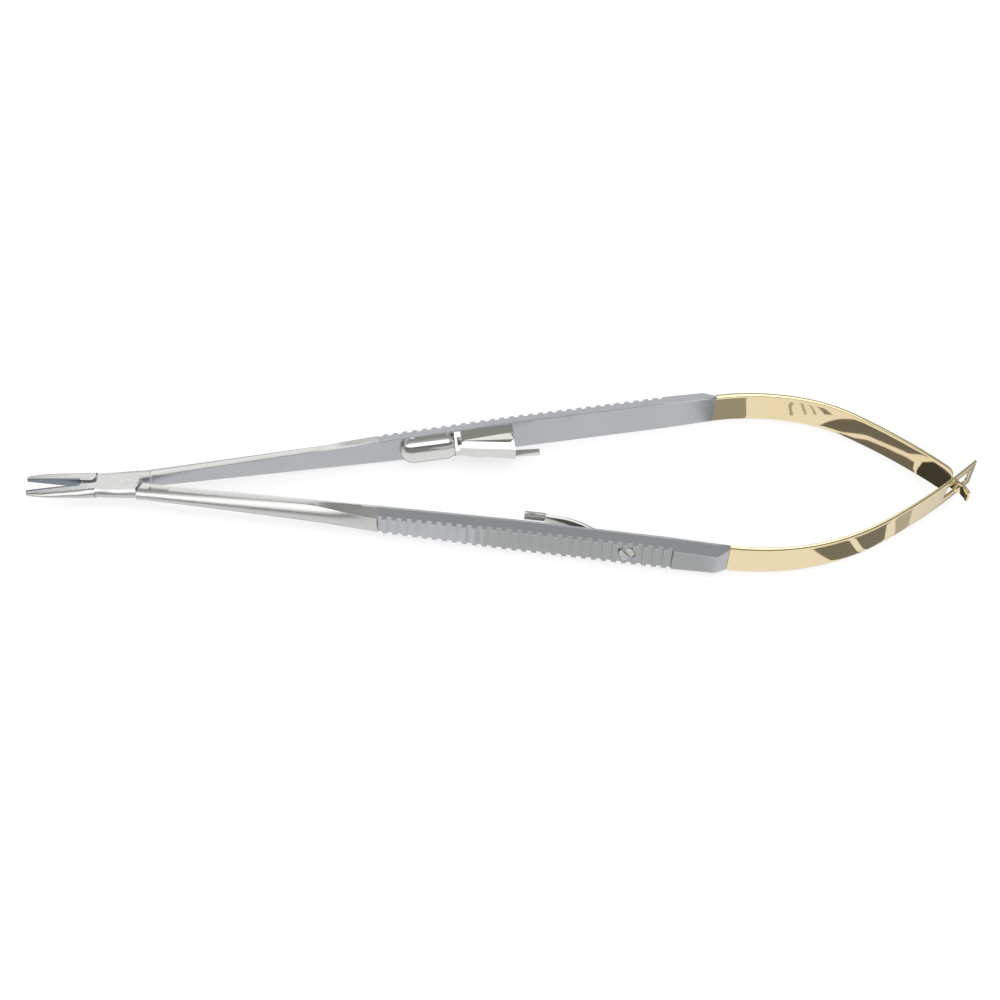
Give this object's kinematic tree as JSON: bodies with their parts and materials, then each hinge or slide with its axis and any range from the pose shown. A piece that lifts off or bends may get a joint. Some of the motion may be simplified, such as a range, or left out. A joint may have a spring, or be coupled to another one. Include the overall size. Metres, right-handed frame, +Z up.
{
  "type": "surgical needle holder",
  "caption": "Surgical needle holder with faced jaws, a box lock, flat serrated grips, a catch lock between the arms and crossed leaf springs that push it open.",
  "frame": {"origin": "middle of the whole at its lowest face, on the surface that it lies on", "axes": "+X runs along it from the jaw tips to the springs, +Y is the side of the arm that carries the lock catch, +Z is up, along the box lock's pin"},
  "size_m": [0.1778, 0.0368, 0.0081],
  "materials": {
    "satin_steel": "satin stainless steel, glass-bead blasted grips and brushed flats",
    "polished_steel": "polished stainless steel",
    "hard_metal": "ground hard metal, darker and bluer than the steel",
    "gold_spring": "polished gold plating on spring steel"
  },
  "bodies": {
    "catch_half": {"female_half": "satin_steel", "box_lock_pin": "satin_steel", "lower_jaw_insert": "hard_metal", "lock_catch": "polished_steel", "lock_catch_screw": "polished_steel"},
    "hook_half": {"male_half": "satin_steel", "upper_jaw_insert": "hard_metal", "lock_hook_spring": "polished_steel", "lock_hook_screw": "polished_steel"},
    "upper_leaf": {"upper_leaf_spring": "gold_spring"},
    "lower_leaf": {"lower_leaf_spring": "gold_spring"}
  },
  "joints": [
    {"name": "box_lock_hinge", "type": "hinge", "parent": "catch_half", "child": "hook_half", "pos_m": [-0.07201, 0, 0.00405], "axis": [0, 0, 1], "range_deg": [0, 7.4], "stiffness_Nm_per_rad": 3},
    {"name": "upper_leaf_flex", "type": "hinge", "parent": "catch_half", "child": "upper_leaf", "pos_m": [0.0409, 0.01723, 0.00405], "axis": [0, 0, 1], "range_deg": [0, 13.2]},
    {"name": "lower_leaf_flex", "type": "hinge", "parent": "hook_half", "child": "lower_leaf", "pos_m": [0.0409, -0.01723, 0.00405], "axis": [0, 0, 1], "range_deg": [-13.2, 0]}
  ],
  "couplings": [
    {"joint": "upper_leaf_flex", "follows": "box_lock_hinge", "ratio": 1.77},
    {"joint": "lower_leaf_flex", "follows": "box_lock_hinge", "ratio": -1.77}
  ]
}
